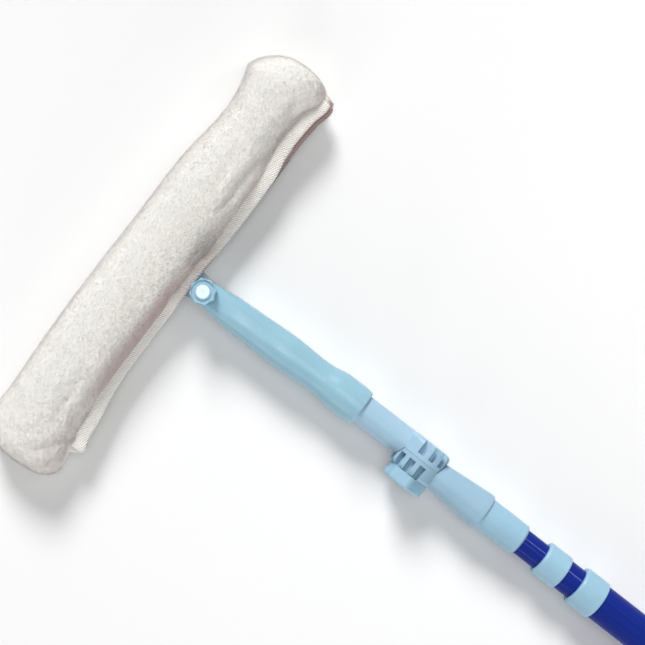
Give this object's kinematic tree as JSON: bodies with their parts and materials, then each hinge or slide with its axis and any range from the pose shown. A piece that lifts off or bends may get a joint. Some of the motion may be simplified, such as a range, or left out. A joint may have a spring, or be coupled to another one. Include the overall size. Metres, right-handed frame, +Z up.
{
  "type": "window scrubber",
  "caption": "Window scrubber with a plush sleeve on a swivelling T-bar, a lockable elbow and a telescopic twist-lock pole.",
  "frame": {"origin": "on the floor, below the middle of the whole part's box", "axes": "+X along the pole from the head to the grip, +Y along the sleeve, +Z up"},
  "size_m": [0.9186, 0.356, 0.0395],
  "materials": {
    "plush": "white microfibre pile",
    "twill": "off-white woven twill tape",
    "closure": "woven hook and loop strip",
    "bar_plastic": "moulded, satin",
    "handle_blue": "moulded, glossy",
    "elbow_blue": "moulded, semi-gloss, slightly paler",
    "collar_blue": "moulded, semi-gloss",
    "knob_blue": "moulded, glossy",
    "cap_pale": "polished pale cap",
    "tube_blue": "glossy dark-blue coating",
    "lock_grey": "moulded nylon",
    "steel": "zinc-plated",
    "brass": "turned",
    "washer_nylon": "natural nylon",
    "friction": "fibre-filled rubber"
  },
  "bodies": {
    "outer_pole": {"outer_tube": "tube_blue", "outer_collar": "collar_blue", "end_grip": "collar_blue", "end_cap": "collar_blue"},
    "middle_lock": {"middle_lock_expander": "lock_grey"},
    "middle_pole": {"middle_tube": "tube_blue", "middle_collar": "collar_blue", "middle_lock_plug": "lock_grey"},
    "inner_lock": {"inner_lock_expander": "lock_grey"},
    "inner_pole": {"inner_tube": "tube_blue", "inner_lock_plug": "lock_grey", "pole_tip_sleeve": "collar_blue", "elbow_lower_half": "elbow_blue"},
    "neck": {"elbow_upper_half": "elbow_blue", "elbow_friction_washer": "friction", "elbow_bolt": "steel", "head_handle": "handle_blue", "swivel_bolt": "steel", "lug_washer_upper": "washer_nylon", "lug_washer_lower": "washer_nylon", "knob_washer": "steel"},
    "elbow_knob": {"elbow_wing_knob": "elbow_blue", "wing_knob_nut": "steel"},
    "head_knob": {"swivel_knob": "knob_blue", "swivel_knob_insert": "brass", "knob_cap_disc": "cap_pale"},
    "head": {"t_bar": "bar_plastic", "t_bar_end_cap_left": "bar_plastic", "t_bar_end_cap_right": "bar_plastic", "sleeve_plush": "plush", "hem_tape_upper": "twill", "hem_tape_lower": "twill", "loop_strips": "closure", "hook_strips": "closure"}
  },
  "joints": [
    {"name": "middle_slide", "type": "slide", "parent": "outer_pole", "child": "middle_lock", "axis": [-1, 0, 0], "range_m": [0, 0.38]},
    {"name": "middle_twist", "type": "hinge", "parent": "middle_lock", "child": "middle_pole", "pos_m": [-0.38284, 0.0011, 0.019], "axis": [-1, 0, 0], "range_deg": [0, 360]},
    {"name": "inner_slide", "type": "slide", "parent": "middle_pole", "child": "inner_lock", "axis": [-1, 0, 0], "range_m": [0, 0.38]},
    {"name": "inner_twist", "type": "hinge", "parent": "inner_lock", "child": "inner_pole", "pos_m": [-0.38284, 0.0011, 0.019], "axis": [-1, 0, 0], "range_deg": [0, 360]},
    {"name": "elbow_bend", "type": "hinge", "parent": "inner_pole", "child": "neck", "pos_m": [-0.18704, 0.0036, 0.019], "axis": [0, 1, 0], "range_deg": [-90, 90]},
    {"name": "elbow_knob_turn", "type": "hinge", "parent": "neck", "child": "elbow_knob", "pos_m": [-0.18704, 0.0036, 0.019], "axis": [0, -1, 0], "range_deg": [0, 360]},
    {"name": "head_swivel", "type": "hinge", "parent": "neck", "child": "head", "pos_m": [-0.38284, 0.003, 0.019], "axis": [0, 0, 1], "range_deg": [-75, 75]},
    {"name": "head_knob_turn", "type": "hinge", "parent": "neck", "child": "head_knob", "pos_m": [-0.38284, 0.003, 0.019], "axis": [0, 0, 1], "range_deg": [0, 360]}
  ]
}
